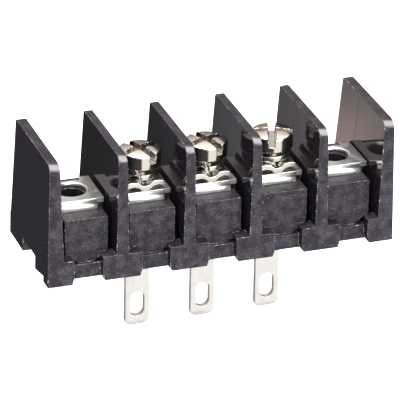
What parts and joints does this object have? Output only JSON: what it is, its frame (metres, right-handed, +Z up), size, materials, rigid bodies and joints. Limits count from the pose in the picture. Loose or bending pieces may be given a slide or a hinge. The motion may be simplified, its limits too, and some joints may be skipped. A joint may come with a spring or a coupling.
{
  "type": "barrier terminal strip",
  "caption": "Barrier terminal strip: a moulded housing with tall barriers, screw ways with wire clamps and solder lugs, and an open fixing way at each end.",
  "frame": {"origin": "midway between the two fixing holes, on the mounting face", "axes": "+X along the strip from the left end to the right, -Y towards the front where the wires come in, +Z up out of the panel along the fixing holes"},
  "size_m": [0.068, 0.0248, 0.041],
  "materials": {
    "moulding": "black moulded, fine spark texture",
    "plate": "brass sheet, dull tin plated",
    "washer": "nickel plated steel",
    "screw": "bright nickel plated steel"
  },
  "bodies": {
    "strip": {"housing": "moulding", "terminal_1": "plate", "terminal_2": "plate", "terminal_3": "plate", "end_plate_left": "plate", "end_plate_right": "plate"},
    "washers_1": {"clamp_washer_1": "washer", "spring_washer_1": "washer"},
    "screw_body_1": {"screw_1": "screw"},
    "washers_2": {"clamp_washer_2": "washer", "spring_washer_2": "washer"},
    "screw_body_2": {"screw_2": "screw"},
    "washers_3": {"clamp_washer_3": "washer", "spring_washer_3": "washer"},
    "screw_body_3": {"screw_3": "screw"}
  },
  "joints": [
    {"name": "screw_1_lift", "type": "slide", "parent": "strip", "child": "washers_1", "axis": [0, 0, 1], "range_m": [0, 0.0032]},
    {"name": "screw_1_turn", "type": "hinge", "parent": "washers_1", "child": "screw_body_1", "pos_m": [-0.013, -0.0013, 0.0178], "axis": [0, 0, 1], "range_deg": [0, 1646]},
    {"name": "screw_2_lift", "type": "slide", "parent": "strip", "child": "washers_2", "axis": [0, 0, 1], "range_m": [0, 0.0032]},
    {"name": "screw_2_turn", "type": "hinge", "parent": "washers_2", "child": "screw_body_2", "pos_m": [0, -0.0013, 0.0178], "axis": [0, 0, 1], "range_deg": [0, 1646]},
    {"name": "screw_3_lift", "type": "slide", "parent": "strip", "child": "washers_3", "axis": [0, 0, 1], "range_m": [0, 0.0032]},
    {"name": "screw_3_turn", "type": "hinge", "parent": "washers_3", "child": "screw_body_3", "pos_m": [0.013, -0.0013, 0.0178], "axis": [0, 0, 1], "range_deg": [0, 1646]}
  ],
  "couplings": [
    {"joint": "screw_1_turn", "follows": "screw_1_lift", "rad_per_m": 8976},
    {"joint": "screw_2_turn", "follows": "screw_2_lift", "rad_per_m": 8976},
    {"joint": "screw_3_turn", "follows": "screw_3_lift", "rad_per_m": 8976}
  ]
}
